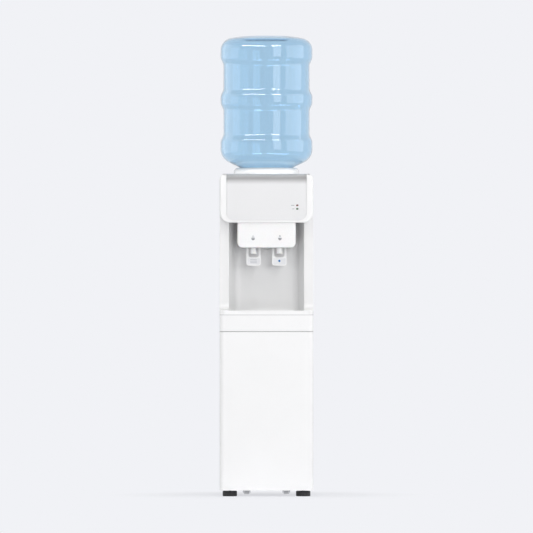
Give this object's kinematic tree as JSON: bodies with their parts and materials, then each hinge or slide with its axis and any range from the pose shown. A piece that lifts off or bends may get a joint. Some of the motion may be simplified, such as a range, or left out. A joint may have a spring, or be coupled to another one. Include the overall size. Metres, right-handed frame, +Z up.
{
  "type": "top load water cooler",
  "caption": "Free-standing top-load water cooler: ribbed bottle in a collar, two push-paddle taps in a niche, lift-out drip tray and a rear condenser.",
  "frame": {"origin": "on the floor, under the centre of the object's bounding box", "axes": "+Z up, the front with the taps faces -Y, +X to the right as seen from the front"},
  "size_m": [0.276, 0.325, 1.3577],
  "materials": {
    "white_shell": "semi-gloss moulded",
    "fascia_grey": "satin moulded",
    "painted_steel": "fine-texture powder coat",
    "tap_white": "semi-gloss moulded",
    "tray_white": "semi-gloss moulded",
    "grille_grey": "satin moulded",
    "bottle_blue": "clear blown plastic",
    "cap_white": "moulded",
    "probe_grey": "moulded",
    "stainless": "drawn and polished",
    "aluminium_sleeve": "plain",
    "foam_white": "bead foam",
    "zinc_sheet": "zinc coated",
    "hose_clear": "silicone",
    "control_grey": "moulded",
    "compressor_black": "gloss enamel",
    "rubber_black": "moulded",
    "copper": "drawn tube",
    "condenser_black": "satin enamel",
    "lamp_red": "clear lens",
    "lamp_green": "clear lens",
    "board_green": "lacquered",
    "dot_blue": "printed",
    "switch_black": "moulded",
    "base_grey": "moulded",
    "roller_grey": "moulded",
    "screw_steel": "plated"
  },
  "bodies": {
    "cabinet": {"base_pan": "base_grey", "side_panel_left": "painted_steel", "side_panel_right": "painted_steel", "rear_panel": "painted_steel", "lower_front_panel": "white_shell", "front_surround": "white_shell", "tray_apron": "white_shell", "lid": "white_shell", "head_bezel": "white_shell", "fascia_panel": "fascia_grey", "power_lamp": "lamp_red", "cooling_lamp": "lamp_green", "lamp_board": "board_green", "nozzle_housing": "white_shell", "ambient_tap_body": "tap_white", "cold_tap_body": "tap_white", "ambient_spring": "stainless", "cold_spring": "stainless", "paddle_pins": "stainless", "bottle_collar": "white_shell", "bottle_funnel": "cap_white", "bottle_probe": "probe_grey", "cold_tank": "stainless", "tank_baffle": "probe_grey", "evaporator": "aluminium_sleeve", "insulation_front": "foam_white", "insulation_rear": "foam_white", "tank_shelf": "zinc_sheet", "cold_hose": "hose_clear", "ambient_hose": "hose_clear", "thermostat": "control_grey", "compressor": "compressor_black", "compressor_mounts": "rubber_black", "filter_drier": "copper", "capillary_tube": "copper", "discharge_pipe": "copper", "suction_pipe": "copper", "condenser": "condenser_black", "condenser_brackets": "zinc_sheet", "cord_gland": "rubber_black", "switch_frame": "switch_black", "drain_pipe": "hose_clear", "rear_screws": "screw_steel", "roller_brackets": "roller_grey", "roller_axles": "screw_steel"},
    "bottle": {"bottle": "bottle_blue", "bottle_cap": "cap_white"},
    "drip_tray": {"drip_tray": "tray_white"},
    "drip_grille": {"drip_grille": "grille_grey"},
    "ambient_paddle": {"ambient_paddle": "tap_white"},
    "cold_paddle": {"cold_paddle": "tap_white", "cold_dot": "dot_blue"},
    "ambient_plunger": {"ambient_plunger": "tap_white"},
    "cold_plunger": {"cold_plunger": "tap_white"},
    "switch_rocker": {"switch_rocker": "switch_black"},
    "drain_cap": {"drain_cap": "cap_white"},
    "left_roller": {"left_roller": "roller_grey"},
    "right_roller": {"right_roller": "roller_grey"},
    "left_foot": {"left_foot": "rubber_black"},
    "right_foot": {"right_foot": "rubber_black"}
  },
  "joints": [
    {"name": "bottle_lift", "type": "slide", "parent": "cabinet", "child": "bottle", "axis": [0, 0, 1], "range_m": [0, 0.12]},
    {"name": "tray_lift", "type": "slide", "parent": "cabinet", "child": "drip_tray", "axis": [0, 0, 1], "range_m": [0, 0.08]},
    {"name": "grille_lift", "type": "slide", "parent": "drip_tray", "child": "drip_grille", "axis": [0, 0, 1], "range_m": [0, 0.04]},
    {"name": "ambient_paddle_push", "type": "hinge", "parent": "cabinet", "child": "ambient_paddle", "pos_m": [-0.038, -0.093, 0.75], "axis": [1, 0, 0], "range_deg": [0, 15], "stiffness_Nm_per_rad": 0.4, "springref_deg": -8.59},
    {"name": "ambient_plunger_slide", "type": "slide", "parent": "cabinet", "child": "ambient_plunger", "axis": [0, -1, 0], "range_m": [0, 0.0048], "deforming": ["ambient_spring"]},
    {"name": "cold_paddle_push", "type": "hinge", "parent": "cabinet", "child": "cold_paddle", "pos_m": [0.038, -0.093, 0.75], "axis": [1, 0, 0], "range_deg": [0, 15], "stiffness_Nm_per_rad": 0.4, "springref_deg": -8.59},
    {"name": "cold_plunger_slide", "type": "slide", "parent": "cabinet", "child": "cold_plunger", "axis": [0, -1, 0], "range_m": [0, 0.0048], "deforming": ["cold_spring"]},
    {"name": "cooling_switch", "type": "hinge", "parent": "cabinet", "child": "switch_rocker", "pos_m": [-0.096, 0.1345, 0.092], "axis": [1, 0, 0], "range_deg": [-8, 8]},
    {"name": "drain_cap_pull", "type": "slide", "parent": "cabinet", "child": "drain_cap", "axis": [0, 1, 0], "range_m": [0, 0.03]},
    {"name": "left_roller_spin", "type": "hinge", "parent": "cabinet", "child": "left_roller", "pos_m": [-0.059, 0.1075, 0.012], "axis": [1, 0, 0], "continuous": true},
    {"name": "right_roller_spin", "type": "hinge", "parent": "cabinet", "child": "right_roller", "pos_m": [0.059, 0.1075, 0.012], "axis": [1, 0, 0], "continuous": true},
    {"name": "left_foot_screw", "type": "slide", "parent": "cabinet", "child": "left_foot", "axis": [0, 0, -1], "range_m": [0, 0.01]},
    {"name": "right_foot_screw", "type": "slide", "parent": "cabinet", "child": "right_foot", "axis": [0, 0, -1], "range_m": [0, 0.01]}
  ],
  "couplings": [
    {"joint": "ambient_plunger_slide", "follows": "ambient_paddle_push", "m_per_rad": 0.018},
    {"joint": "cold_plunger_slide", "follows": "cold_paddle_push", "m_per_rad": 0.018}
  ]
}
